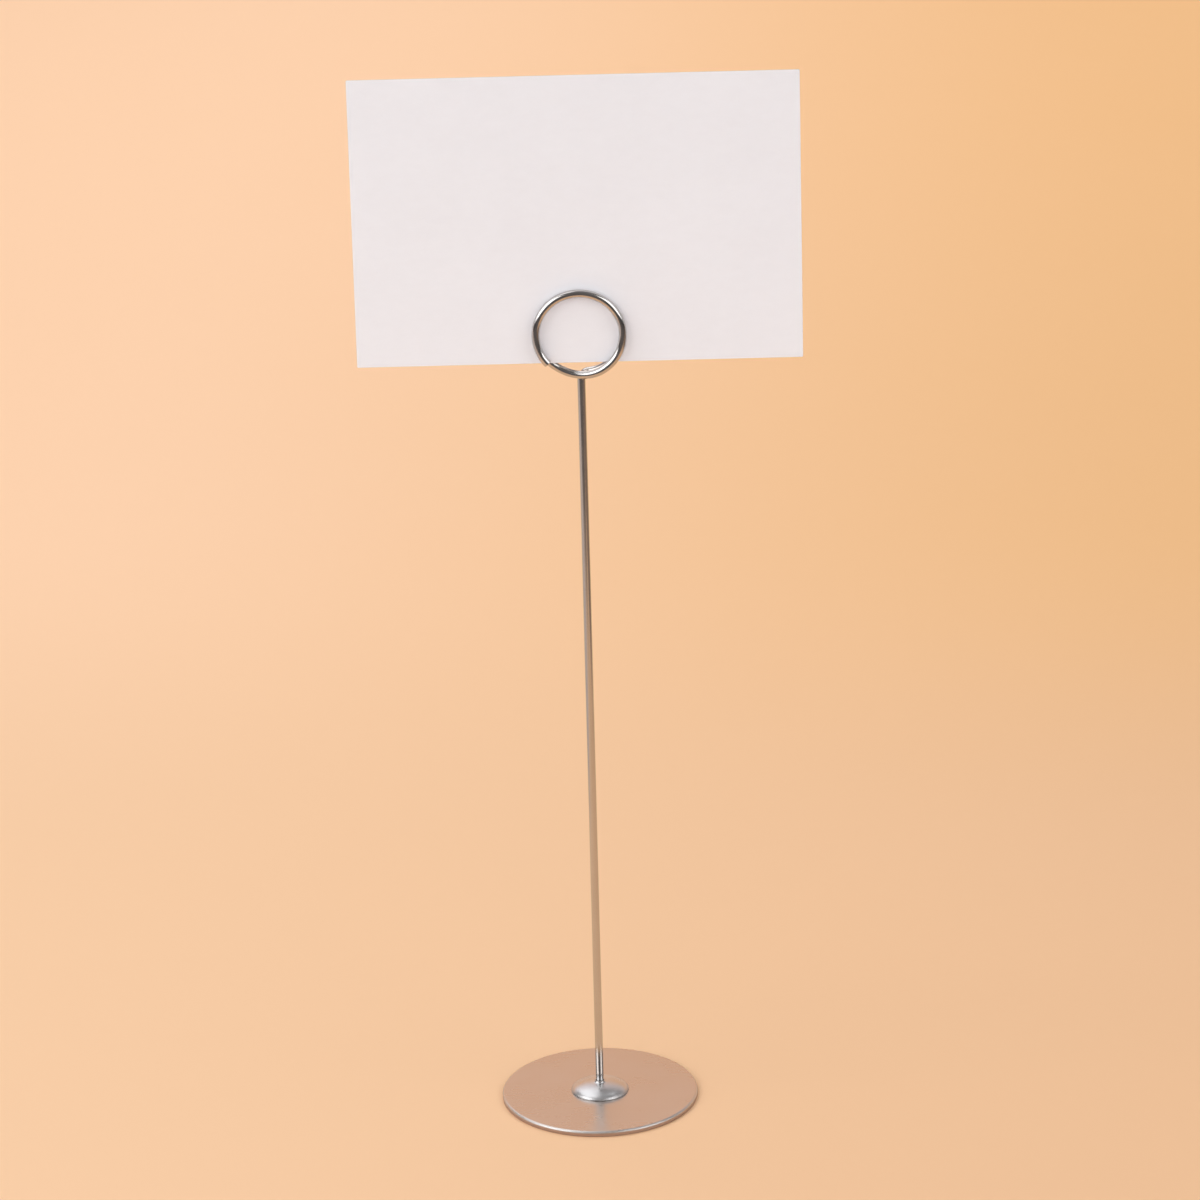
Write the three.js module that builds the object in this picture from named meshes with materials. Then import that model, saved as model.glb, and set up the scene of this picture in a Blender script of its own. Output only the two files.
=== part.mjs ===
// A table card holder: a round plate carries an upright wire, and the top of the wire is wound into
// a two-turn ring that pinches a card between its turns. Millimetres, +Z up. The origin is the
// middle of the plate's underside, and the card's front faces -Y.

import * as THREE from "three";

// Base plate: a blanked disc with a rolled upper edge
const BASE_DIAMETER = 70;
const BASE_THICKNESS = 2;
const BASE_EDGE_RADIUS = 0.8;
const BASE_LOWER_CHAMFER = 0.3;

// Wire: one length, from its threaded tail in the plate to the cut end of the ring
const WIRE_DIAMETER = 2.8;
const STAND_HEIGHT = 305;
const RING_OUTER_DIAMETER = 32.5;
const BEND_RADIUS = 3;
const TAIL_INSET = 0.3;
const THREAD_CLEARANCE = 0.1;

// Angles about the ring's centre, counted from its lowest point. The wire changes from the rear
// turn to the front one within the crossing, and its cut end stops short of the crossing.
const CROSSING_HALF_ANGLE = 36;
const CUT_END_ANGLE_PAST_CROSSING = 11;

// Lock nut on the tail, on top of the plate
const NUT_WALL = 1.25;
const NUT_HEIGHT = 1.8;
const NUT_CHAMFER = 0.25;

// Dome cap, a pressed shell that hides the nut, with a small drawn neck round the wire
const CAP_DIAMETER = 20.6;
const CAP_WALL = 0.7;
const CAP_HEADROOM = 0.55;
const NECK_HEIGHT = 0.7;
const NECK_WALL = 0.25;

// Card, 6 by 4 inches, and the room left on each side of it between the two turns
const CARD_WIDTH = 152.4;
const CARD_HEIGHT = 101.6;
const CARD_THICKNESS = 0.4;
const CARD_CLEARANCE = 0.15;
const CARD_SEAT_GAP = 0.3;

// Facets
const PLATE_SEGMENTS = 96;
const CAP_SEGMENTS = 48;
const BORE_SEGMENTS = 48;
const ARC_STEPS = 6;
const DOME_STEPS = 10;
const WIRE_SIDES = 12;
const BEND_STEPS = 8;
const RING_STEP_ANGLE = 10;
const GAP_SAMPLES = 10;

const wireRadius = WIRE_DIAMETER / 2;
const boreRadius = wireRadius + THREAD_CLEARANCE;
const ringRadius = (RING_OUTER_DIAMETER - WIRE_DIAMETER) / 2;
const ringHeight = STAND_HEIGHT - RING_OUTER_DIAMETER / 2;
const crossing = THREE.MathUtils.degToRad(CROSSING_HALF_ANGLE);
const cutEnd = THREE.MathUtils.degToRad(CROSSING_HALF_ANGLE + CUT_END_ANGLE_PAST_CROSSING);

// The turns lie one wire and one card slot apart, and the slot follows the helix from side to side.
const turnPitch = WIRE_DIAMETER + CARD_THICKNESS + 2 * CARD_CLEARANCE;
const slotSlope = turnPitch / (4 * ringRadius);

const steel = { metalness: 1, color: 0xc9bfb6, roughness: 0.34 };
const polishedSteel = { metalness: 1, color: 0xd8d8da, roughness: 0.1 };
const paper = { metalness: 0, color: 0xf1eae8, roughness: 0.85 };

function named(name, geometry, look) {
  const mesh = new THREE.Mesh(geometry, new THREE.MeshStandardMaterial(look));
  mesh.name = name;
  return mesh;
}

// Points of an elliptical arc in the half plane of a revolve, x out from the axis and y up
function arc(centreX, centreY, radiusX, radiusY, fromAngle, toAngle, steps) {
  const curve = new THREE.EllipseCurve(centreX, centreY, radiusX, radiusY, fromAngle, toAngle, toAngle < fromAngle);
  return curve.getPoints(steps);
}

// A closed profile turned about Z
function revolve(profile, segments) {
  const geometry = new THREE.LatheGeometry([...profile, profile[0].clone()], segments);
  return geometry.rotateX(Math.PI / 2);
}

function makeBasePlate() {
  const rim = BASE_DIAMETER / 2;
  const profile = [
    new THREE.Vector2(boreRadius, 0),
    new THREE.Vector2(rim - BASE_LOWER_CHAMFER, 0),
    new THREE.Vector2(rim, BASE_LOWER_CHAMFER),
    ...arc(
      rim - BASE_EDGE_RADIUS,
      BASE_THICKNESS - BASE_EDGE_RADIUS,
      BASE_EDGE_RADIUS,
      BASE_EDGE_RADIUS,
      0,
      Math.PI / 2,
      ARC_STEPS,
    ),
    new THREE.Vector2(boreRadius, BASE_THICKNESS),
  ];
  return named("base_plate", revolve(profile, PLATE_SEGMENTS), steel);
}

// The nut's corners, which set the room that the cap needs
const nutFlatRadius = boreRadius + NUT_WALL;
const nutCornerRadius = nutFlatRadius / Math.cos(Math.PI / 6);

function makeLockNut() {
  const outline = new THREE.Shape();
  for (let corner = 0; corner < 6; corner += 1) {
    const angle = (corner * Math.PI) / 3;
    const point = [nutCornerRadius * Math.cos(angle), nutCornerRadius * Math.sin(angle)];
    if (corner === 0) {
      outline.moveTo(...point);
    } else {
      outline.lineTo(...point);
    }
  }
  outline.closePath();
  outline.holes.push(new THREE.Path().absarc(0, 0, boreRadius, 0, 2 * Math.PI, true));
  const geometry = new THREE.ExtrudeGeometry(outline, {
    depth: NUT_HEIGHT - 2 * NUT_CHAMFER,
    curveSegments: BORE_SEGMENTS / 2,
    bevelThickness: NUT_CHAMFER,
    bevelSize: NUT_CHAMFER,
    bevelOffset: -NUT_CHAMFER,
    bevelSegments: 1,
  });
  geometry.translate(0, 0, NUT_CHAMFER);
  const nut = named("lock_nut", geometry, steel);
  nut.position.z = BASE_THICKNESS;
  return nut;
}

// The cap's inner ellipse clears the nut's corners by the headroom, and its outer one is a wall away.
function makeDomeCap() {
  const innerRadius = CAP_DIAMETER / 2 - CAP_WALL;
  const innerHeight = (NUT_HEIGHT + CAP_HEADROOM) / Math.sqrt(1 - (nutCornerRadius / innerRadius) ** 2);
  const outerRadius = innerRadius + CAP_WALL;
  const outerHeight = innerHeight + CAP_WALL;
  const neckRadius = boreRadius + NECK_WALL;
  const neckFoot = Math.acos((neckRadius + NECK_HEIGHT) / outerRadius);
  const neckFootHeight = outerHeight * Math.sin(neckFoot);
  const neckTop = neckFootHeight + NECK_HEIGHT;
  const profile = [
    ...arc(0, 0, outerRadius, outerHeight, 0, neckFoot, DOME_STEPS),
    ...arc(
      neckRadius + NECK_HEIGHT,
      neckTop,
      NECK_HEIGHT,
      NECK_HEIGHT,
      1.5 * Math.PI,
      Math.PI,
      ARC_STEPS,
    ).slice(1),
    new THREE.Vector2(boreRadius, neckTop),
    ...arc(0, 0, innerRadius, innerHeight, Math.acos(boreRadius / innerRadius), 0, DOME_STEPS),
  ];
  const cap = named("dome_cap", revolve(profile, CAP_SEGMENTS), polishedSteel);
  cap.position.z = BASE_THICKNESS;
  return cap;
}

// Centre line of the wire: a straight stem, a tight bend to the right, then almost two turns
class ClipWireCurve extends THREE.Curve {
  constructor() {
    super();
    this.bendExit = Math.asin(BEND_RADIUS / (ringRadius + BEND_RADIUS));
    this.bendStartHeight = ringHeight - (ringRadius + BEND_RADIUS) * Math.cos(this.bendExit);
    this.bendSweep = Math.PI / 2 - this.bendExit;
    this.endAngle = 4 * Math.PI - cutEnd;
    this.ringSteps = Math.ceil(THREE.MathUtils.radToDeg(this.endAngle - this.bendExit) / RING_STEP_ANGLE);
    this.steps = 1 + BEND_STEPS + this.ringSteps;
  }

  // Stations are even in number along each stretch, so the stem takes a single step.
  getUtoTmapping(u) {
    return u;
  }

  getPoint(t, target = new THREE.Vector3()) {
    const station = t * this.steps;
    if (station <= 1) {
      return target.set(0, 0, THREE.MathUtils.lerp(TAIL_INSET, this.bendStartHeight, station));
    }
    if (station <= 1 + BEND_STEPS) {
      const turned = (this.bendSweep * (station - 1)) / BEND_STEPS;
      const across = BEND_RADIUS * (1 - Math.cos(turned));
      return target.set(across, 0, this.bendStartHeight + BEND_RADIUS * Math.sin(turned));
    }
    const share = (station - 1 - BEND_STEPS) / this.ringSteps;
    const angle = THREE.MathUtils.lerp(this.bendExit, this.endAngle, share);
    const across = ringRadius * Math.sin(angle);
    return target.set(across, this.ringDepth(angle, across), ringHeight - ringRadius * Math.cos(angle));
  }

  // The ring starts in the stem's own plane, eases into the rear turn, and crosses to the front turn
  // as it passes before the stem. Both turns lie flat along the card's slot.
  ringDepth(angle, across) {
    const leadIn = THREE.MathUtils.smoothstep(angle, this.bendExit, crossing);
    const crossed = THREE.MathUtils.smoothstep(angle, 2 * Math.PI - crossing, 2 * Math.PI + crossing);
    const slotDepth = across * slotSlope * leadIn - turnPitch;
    return slotDepth + (turnPitch / 2) * (2 - leadIn - 2 * crossed);
  }

  // Least clear distance between stretches of the wire that lie over half a turn apart along it
  leastGap() {
    const points = this.getSpacedPoints(this.steps * GAP_SAMPLES);
    const apart = Math.round((180 / RING_STEP_ANGLE) * GAP_SAMPLES);
    let least = Infinity;
    for (let first = 0; first < points.length; first += 1) {
      for (let second = first + apart; second < points.length; second += 1) {
        least = Math.min(least, points[first].distanceTo(points[second]));
      }
    }
    return least - WIRE_DIAMETER;
  }
}

function makeClipWire() {
  const curve = new ClipWireCurve();
  const section = new THREE.Shape().absarc(0, 0, wireRadius, 0, 2 * Math.PI, false);
  const geometry = new THREE.ExtrudeGeometry(section, {
    steps: curve.steps,
    curveSegments: WIRE_SIDES / 2,
    extrudePath: curve,
  });
  console.log(`The ring's turns keep ${curve.leastGap().toFixed(2)} mm apart`);
  return named("clip_wire", geometry, polishedSteel);
}

// The card stands in the slot and stops where the turns come together at the crossing.
function makeCard() {
  const seat = ringHeight - ringRadius * Math.cos(crossing) + wireRadius + CARD_SEAT_GAP;
  const card = named("table_card", new THREE.BoxGeometry(CARD_WIDTH, CARD_THICKNESS, CARD_HEIGHT), paper);
  card.position.set(0, -turnPitch, seat + CARD_HEIGHT / 2);
  card.rotation.z = Math.atan(slotSlope);
  return card;
}

const cardHolder = new THREE.Group();
cardHolder.add(makeBasePlate(), makeLockNut(), makeDomeCap(), makeClipWire(), makeCard());

export default cardHolder;
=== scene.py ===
"""Looks of a table card holder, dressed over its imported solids.

A satin round plate with a polished dome cap, one drawn wire wound into a ring clip, and a blank card.
Metres, +Z up, and the card's front faces -Y.
"""

from __future__ import annotations

import logging
import math
from collections.abc import Sequence
from dataclasses import dataclass, field, replace
from enum import Enum
from functools import cache

import bmesh
import bpy
from mathutils import Matrix, Vector


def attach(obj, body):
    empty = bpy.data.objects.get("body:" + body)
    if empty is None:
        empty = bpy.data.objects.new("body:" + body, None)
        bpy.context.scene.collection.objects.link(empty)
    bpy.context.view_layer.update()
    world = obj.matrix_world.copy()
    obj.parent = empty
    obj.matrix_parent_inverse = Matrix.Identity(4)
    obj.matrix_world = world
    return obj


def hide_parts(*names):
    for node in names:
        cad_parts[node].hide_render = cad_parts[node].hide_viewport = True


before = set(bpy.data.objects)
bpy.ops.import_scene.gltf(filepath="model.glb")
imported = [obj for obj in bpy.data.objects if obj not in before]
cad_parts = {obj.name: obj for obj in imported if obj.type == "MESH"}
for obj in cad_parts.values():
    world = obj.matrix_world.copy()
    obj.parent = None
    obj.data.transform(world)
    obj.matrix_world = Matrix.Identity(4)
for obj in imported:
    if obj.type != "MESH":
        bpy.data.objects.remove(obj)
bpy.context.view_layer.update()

log = logging.getLogger("card_holder")

Colour = tuple[float, float, float]
Point = tuple[float, float, float]
Span = tuple[float, float]

MERGE_DISTANCE = 1e-7
FINE_SHARE = 0.45
BROAD_SCALE = 0.23
CLOUD_SPAN: Span = (0.32, 0.7)
SPECK_SCALE = 9.0
SPECK_SPAN: Span = (0.72, 0.8)
WEAR_SCALE = 420.0
WEAR_SPAN: Span = (0.25, 0.6)
LEAST_WEAR = 0.5


class Body(Enum):
    """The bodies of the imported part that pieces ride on."""

    STAND = "stand"
    CARD = "card"


class Slot(Enum):
    """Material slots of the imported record."""

    SATIN = "satin_steel"
    PLAIN = "plain_steel"
    POLISHED = "polished_steel"
    WIRE = "wire_steel"
    CARD = "card_stock"


@dataclass(frozen=True)
class Field:
    """An output socket of a node graph, with sums that add Math nodes to the graph."""

    graph: NodeGraph
    socket: bpy.types.NodeSocket

    def __add__(self, other: Field | float) -> Field:
        """Sum of the two."""
        return self.graph.math("ADD", self, other)

    def __radd__(self, other: float) -> Field:
        """Sum of the two."""
        return self.graph.math("ADD", other, self)

    def __sub__(self, other: Field | float) -> Field:
        """This less the other."""
        return self.graph.math("SUBTRACT", self, other)

    def __rsub__(self, other: float) -> Field:
        """The other less this."""
        return self.graph.math("SUBTRACT", other, self)

    def __mul__(self, other: Field | float) -> Field:
        """Product of the two."""
        return self.graph.math("MULTIPLY", self, other)

    def __rmul__(self, other: float) -> Field:
        """Product of the two."""
        return self.graph.math("MULTIPLY", other, self)

    def __truediv__(self, other: Field | float) -> Field:
        """This divided by the other."""
        return self.graph.math("DIVIDE", self, other)


class NodeGraph:
    """A node tree being written: it adds nodes, links them and does sums on their sockets."""

    def __init__(self, tree: bpy.types.NodeTree) -> None:
        """Keeps the tree that is written."""
        self.tree = tree

    def node(
        self,
        kind: str,
        inputs: dict[str | int, object] | None = None,
        **settings: object,
    ) -> bpy.types.Node:
        """Adds a node.

        Args:
            kind: the node's type name.
            inputs: what each input socket gets, by its name or its number.
            settings: properties of the node itself.

        Returns:
            The new node.
        """
        made = self.tree.nodes.new(kind)
        for name, value in settings.items():
            setattr(made, name, value)
        for key, value in (inputs or {}).items():
            self.feed(made.inputs[key], value)
        return made

    def feed(self, socket: bpy.types.NodeSocket, value: object) -> None:
        """Links a field into an input socket, or sets the socket's own value.

        Args:
            socket: the input socket.
            value: a Field, or a plain value that the socket takes.
        """
        if isinstance(value, Field):
            self.tree.links.new(value.socket, socket)
        else:
            socket.default_value = value

    def out(self, node: bpy.types.Node, key: str | int = 0) -> Field:
        """One output of a node as a field."""
        return Field(self, node.outputs[key])

    def math(self, operation: str, *values: Field | float) -> Field:
        """Adds a Math node.

        Args:
            operation: the node's operation.
            values: its one, two or three inputs.

        Returns:
            The node's result.
        """
        return self.out(self.node("ShaderNodeMath", dict(enumerate(values)), operation=operation))

    def vector_math(self, operation: str, *values: Field | Sequence[float]) -> Field:
        """The vector result of a Vector Math node with one or two inputs."""
        return self.out(self.node("ShaderNodeVectorMath", dict(enumerate(values)), operation=operation))

    def clamp(self, value: Field) -> Field:
        """The value held between 0 and 1."""
        return self.out(self.node("ShaderNodeClamp", {"Value": value}))

    def lerp(self, share: Field, start: Field | float, stop: Field | float) -> Field:
        """A value that goes from start to stop as share goes from 0 to 1."""
        inputs = {"Factor": share, "A": start, "B": stop}
        return self.out(self.node("ShaderNodeMix", inputs, data_type="FLOAT"))

    def smoothstep(self, value: Field, low: Field | float, high: Field | float) -> Field:
        """Eases from 0 to 1 as the value goes from low to high."""
        inputs = {"Value": value, "From Min": low, "From Max": high}
        return self.out(self.node("ShaderNodeMapRange", inputs, interpolation_type="SMOOTHSTEP"))

    def combine(self, x: Field | float, y: Field | float, z: Field | float) -> Field:
        """A vector from its three parts."""
        return self.out(self.node("ShaderNodeCombineXYZ", {"X": x, "Y": y, "Z": z}))

    def separate(self, vector: Field) -> tuple[Field, Field, Field]:
        """The three parts of a vector."""
        made = self.node("ShaderNodeSeparateXYZ", {"Vector": vector})
        return self.out(made, "X"), self.out(made, "Y"), self.out(made, "Z")

    def noise(self, vector: Field, scale: float, detail: float = 2.0, roughness: float = 0.5) -> Field:
        """Smooth noise from 0 to 1 over a vector.

        Args:
            vector: where the noise is read.
            scale: noise cells for each unit of the vector.
            detail: octaves that are added.
            roughness: how strong those octaves are.

        Returns:
            The noise.
        """
        inputs = {"Vector": vector, "Scale": scale, "Detail": detail, "Roughness": roughness}
        return self.out(self.node("ShaderNodeTexNoise", inputs))

    def tint(self, share: Field, start: Colour | Field, stop: Colour | Field) -> Field:
        """A colour that goes from start to stop as share goes from 0 to 1."""
        made = self.node("ShaderNodeMix", data_type="RGBA")
        colours = [socket for socket in made.inputs if socket.type == "RGBA"]
        self.feed(made.inputs["Factor"], share)
        self.feed(colours[0], start if isinstance(start, Field) else (*start, 1.0))
        self.feed(colours[1], stop if isinstance(stop, Field) else (*stop, 1.0))
        return Field(self, next(socket for socket in made.outputs if socket.type == "RGBA"))

    def place(self) -> Field:
        """The surface point in the piece's own space."""
        return self.out(self.node("ShaderNodeTexCoord"), "Object")

    def attribute(self, name: str, output: str = "Fac") -> Field:
        """An attribute of the mesh, as a number or as a vector."""
        return self.out(self.node("ShaderNodeAttribute", attribute_name=name), output)

    def effect(self, tree: bpy.types.NodeTree, inputs: dict[str | int, object]) -> bpy.types.Node:
        """Places a shared node group.

        Args:
            tree: the group's tree.
            inputs: what each of its inputs gets.

        Returns:
            The group node.
        """
        return self.node("ShaderNodeGroup", inputs, node_tree=tree)


SOCKETS: dict[type, str] = {
    float: "NodeSocketFloat",
    int: "NodeSocketInt",
    Vector: "NodeSocketVector",
    bpy.types.Material: "NodeSocketMaterial",
}


def group_graph(
    name: str,
    takes: dict[str, type],
    gives: Sequence[str],
    tree_kind: str = "ShaderNodeTree",
    result_kind: str = "NodeSocketFloat",
) -> tuple[NodeGraph, dict[str, Field]]:
    """Starts a node group.

    Args:
        name: the group's name.
        takes: its inputs and their kinds.
        gives: its outputs.
        tree_kind: the tree's type name.
        result_kind: the outputs' socket type.

    Returns:
        The group's graph, and its inputs as fields.
    """
    tree = bpy.data.node_groups.new(name, tree_kind)
    for key, kind in takes.items():
        tree.interface.new_socket(name=key, in_out="INPUT", socket_type=SOCKETS[kind])
    for key in gives:
        tree.interface.new_socket(name=key, in_out="OUTPUT", socket_type=result_kind)
    graph = NodeGraph(tree)
    source = graph.node("NodeGroupInput")
    return graph, {key: graph.out(source, key) for key in takes}


def group_result(graph: NodeGraph, results: dict[str, Field]) -> bpy.types.NodeTree:
    """Ends a node group by linking its outputs, and returns its tree."""
    graph.node("NodeGroupOutput", dict(results))
    return graph.tree


@cache
def metal_grain() -> bpy.types.NodeTree:
    """Fine parallel lines left by a belt, a die or a lathe.

    Returns:
        A group that takes a place and its line frequency on each axis, and gives a tone and a height.
    """
    graph, given = group_graph("metal grain", {"Place": Vector, "Frequency": Vector}, ["Tone", "Height"])
    stretched = graph.vector_math("MULTIPLY", given["Place"], given["Frequency"])
    fine = graph.noise(stretched, 1.0, detail=2.0, roughness=0.6)
    broad = graph.noise(stretched, BROAD_SCALE, detail=1.0)
    tone = fine * FINE_SHARE + broad * (1.0 - FINE_SHARE)
    return group_result(graph, {"Tone": tone, "Height": fine})


@cache
def handling_marks() -> bpy.types.NodeTree:
    """Soft clouds and a few small specks left by hands and cloths.

    Returns:
        A group that takes a place and a scale, and gives a cloud mask and a speck mask.
    """
    graph, given = group_graph("handling marks", {"Place": Vector, "Scale": float}, ["Cloud", "Speck"])
    inputs = {0: given["Place"], "Scale": given["Scale"]}
    place = graph.out(graph.node("ShaderNodeVectorMath", inputs, operation="SCALE"))
    cloud = graph.smoothstep(graph.noise(place, 1.0, detail=3.0), *CLOUD_SPAN)
    speck = graph.smoothstep(graph.noise(place, SPECK_SCALE, detail=1.0), *SPECK_SPAN)
    return group_result(graph, {"Cloud": cloud, "Speck": speck})


@cache
def edge_wear() -> bpy.types.NodeTree:
    """Broken wear along the edges that a mesh marks; the plate lightens it into a rubbed edge with a
    painted highlight.

    Returns:
        A group that takes a place and an edge mask, and gives the worn share.
    """
    graph, given = group_graph("edge wear", {"Place": Vector, "Edge": float}, ["Wear"])
    broken = graph.smoothstep(graph.noise(given["Place"], WEAR_SCALE, detail=3.0), *WEAR_SPAN)
    share = broken * (1.0 - LEAST_WEAR) + LEAST_WEAR
    return group_result(graph, {"Wear": given["Edge"] * share})


def principled(name: str) -> tuple[bpy.types.Material, NodeGraph, bpy.types.Node]:
    """Starts a material.

    Args:
        name: its name.

    Returns:
        The material, its graph and its Principled shader.
    """
    material = bpy.data.materials.new(name)
    material.use_nodes = True
    shader = next(node for node in material.node_tree.nodes if node.type == "BSDF_PRINCIPLED")
    return material, NodeGraph(material.node_tree), shader


@dataclass(frozen=True)
class Shares:
    """What a value is made of: a least value, and shares of the tone, the clouds and the specks."""

    least: float = 0.0
    tone: float = 0.0
    cloud: float = 0.0
    speck: float = 0.0


@dataclass(frozen=True)
class Texture:
    """The grain and the handling marks of a finish."""

    tone: Field
    height: Field
    cloud: Field
    speck: Field

    def mixed(self, shares: Shares) -> Field:
        """The value that the shares make up."""
        marks = self.cloud * shares.cloud + self.speck * shares.speck
        return self.tone * shares.tone + marks + shares.least


@dataclass(frozen=True)
class Accent:
    """A mark over a plain finish: its share of the colour, its own colour and the roughness it adds."""

    share: Field
    colour: Colour
    roughness: Field


@dataclass(frozen=True)
class Finish:
    """A grained material between two colours, with handling marks and accents over it."""

    name: str
    dark: Colour
    light: Colour
    lightness: Shares
    roughness: Shares
    grain: Point
    marks_scale: float
    bump_depth: float = 0.00001
    bump_strength: float = 0.3
    metallic: float = 1.0
    specular: float = 0.5

    def grain_place(self, graph: NodeGraph) -> Field:
        """The place that the grain is read at."""
        return graph.place()

    def height(self, graph: NodeGraph, texture: Texture) -> Field:
        """The bump's height, from 0 to 1."""
        return texture.height

    def accents(self, graph: NodeGraph, texture: Texture) -> list[Accent]:
        """The marks over the plain finish, the lowest first."""
        return []

    def texture(self, graph: NodeGraph) -> Texture:
        """Places the grain and the handling marks in a material's graph, and returns them."""
        grain = graph.effect(metal_grain(), {"Place": self.grain_place(graph), "Frequency": self.grain})
        marks = graph.effect(handling_marks(), {"Place": graph.place(), "Scale": self.marks_scale})
        return Texture(
            tone=graph.out(grain, "Tone"),
            height=graph.out(grain, "Height"),
            cloud=graph.out(marks, "Cloud"),
            speck=graph.out(marks, "Speck"),
        )

    def material(self) -> bpy.types.Material:
        """Makes the material, and returns it."""
        material, graph, shader = principled(self.name)
        texture = self.texture(graph)
        colour = graph.tint(texture.mixed(self.lightness), self.dark, self.light)
        rough = texture.mixed(self.roughness)
        for accent in self.accents(graph, texture):
            colour = graph.tint(accent.share, colour, accent.colour)
            rough = rough + accent.roughness
        graph.feed(shader.inputs["Base Color"], colour)
        graph.feed(shader.inputs["Roughness"], rough)
        shader.inputs["Metallic"].default_value = self.metallic
        shader.inputs["Specular IOR Level"].default_value = self.specular
        height = self.height(graph, texture)
        inputs = {"Height": height, "Distance": self.bump_depth, "Strength": self.bump_strength}
        graph.feed(shader.inputs["Normal"], graph.out(graph.node("ShaderNodeBump", inputs)))
        return material


@dataclass(frozen=True)
class SatinSteel(Finish):
    """Stainless plate belt-grained along X, with its rolled edge lightened by wear and a painted highlight,
    and its dull blanked wall darkened by painted shade and browned by a painted reflection of the floor.
    """

    name: str = "satin plate steel"
    # The warm tint in these colours is a painted reflection of the peach paper.
    dark: Colour = (0.612, 0.553, 0.515)
    light: Colour = (0.643, 0.587, 0.55)
    lightness: Shares = Shares(tone=0.5, cloud=0.4, speck=-0.05)
    roughness: Shares = Shares(least=0.26, tone=0.02, cloud=0.02, speck=0.006)
    grain: Point = (30.0, 2400.0, 2400.0)
    marks_scale: float = 55.0
    bump_depth: float = 0.000005
    bump_strength: float = 0.02
    # Wear on the rolled edge plus a painted highlight line: a lighter, cooler colour.
    wear_highlight_edge: Colour = (0.64, 0.625, 0.62)
    edge_roughness: float = 0.18
    # Painted shade and a painted reflection of the peach floor on the plate's dull wall.
    dull_wall_shade: Colour = (0.48, 0.38, 0.36)
    wall_shade_shares: Shares = Shares(least=0.6, tone=0.5)
    wall_roughness: float = 0.18

    def accents(self, graph: NodeGraph, texture: Texture) -> list[Accent]:
        """The rubbed edge with its painted highlight, and the blanked wall with painted shade and a painted
        reflection of the floor.
        """
        wear = graph.effect(edge_wear(), {"Place": graph.place(), "Edge": graph.attribute("edge")})
        wear_and_highlight, wall = graph.out(wear, "Wear"), graph.attribute("wall")
        return [
            Accent(wear_and_highlight, self.wear_highlight_edge, wear_and_highlight * self.edge_roughness),
            Accent(wall * texture.mixed(self.wall_shade_shares), self.dull_wall_shade, wall * self.wall_roughness),
        ]


@dataclass(frozen=True)
class PolishedSteel(Finish):
    """Pressed steel with faint rings about Z from the buffing wheel, and a duller foot and lip darkened
    with painted shade.
    """

    name: str = "polished dome steel"
    dark: Colour = (0.575, 0.575, 0.585)
    light: Colour = (0.655, 0.655, 0.67)
    lightness: Shares = Shares(tone=0.5, cloud=0.5)
    roughness: Shares = Shares(least=0.25, tone=0.05, cloud=0.04, speck=0.02)
    grain: Point = (2600.0, 2600.0, 2600.0)
    marks_scale: float = 160.0
    bump_depth: float = 0.000004
    bump_strength: float = 0.25
    ring_wander: float = 0.02
    # Painted shade in the crease where the dome meets the plate, and at the lip round the wire.
    foot: Colour = (0.54, 0.525, 0.52)
    crease_shade: Shares = Shares(least=0.4, cloud=0.5)
    foot_roughness: float = 0.22

    def grain_place(self, graph: NodeGraph) -> Field:
        """The way out from the axis and up, so that the grain runs in rings."""
        x, y, z = graph.separate(graph.place())
        radius = graph.math("SQRT", x * x + y * y)
        return graph.combine(radius + z, x * self.ring_wander, y * self.ring_wander)

    def accents(self, graph: NodeGraph, texture: Texture) -> list[Accent]:
        """The duller foot and lip, darkened with painted shade where they meet the plate and the wire."""
        crease_shade = graph.attribute("edge") * texture.mixed(self.crease_shade)
        return [Accent(crease_shade, self.foot, crease_shade * self.foot_roughness)]


@dataclass(frozen=True)
class DrawnSteel(Finish):
    """Bright wire with die lines along its length and a dull cut end."""

    name: str = "drawn wire steel"
    dark: Colour = (0.53, 0.515, 0.505)
    light: Colour = (0.63, 0.615, 0.61)
    lightness: Shares = Shares(tone=0.75, cloud=0.25, speck=-0.2)
    roughness: Shares = Shares(least=0.11, tone=0.08, cloud=0.04, speck=0.08)
    grain: Point = (9.0, 9.0, 22.0)
    marks_scale: float = 90.0
    cut: Colour = (0.36, 0.34, 0.33)
    cut_roughness: float = 0.25

    def grain_place(self, graph: NodeGraph) -> Field:
        """The place round the wire and along it."""
        x, y, _ = graph.separate(graph.attribute("around", "Vector"))
        return graph.combine(x, y, graph.attribute("along"))

    def accents(self, graph: NodeGraph, texture: Texture) -> list[Accent]:
        """The cut end."""
        cut = graph.attribute("cut")
        return [Accent(cut, self.cut, cut * self.cut_roughness)]


@dataclass(frozen=True)
class PlainSteel(Finish):
    """Turned steel of the hidden nut."""

    name: str = "plain nut steel"
    dark: Colour = (0.46, 0.45, 0.44)
    light: Colour = (0.58, 0.57, 0.56)
    lightness: Shares = Shares(tone=0.6, cloud=0.4)
    roughness: Shares = Shares(least=0.24, tone=0.12, cloud=0.08)
    grain: Point = (900.0, 900.0, 5200.0)
    marks_scale: float = 300.0


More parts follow.
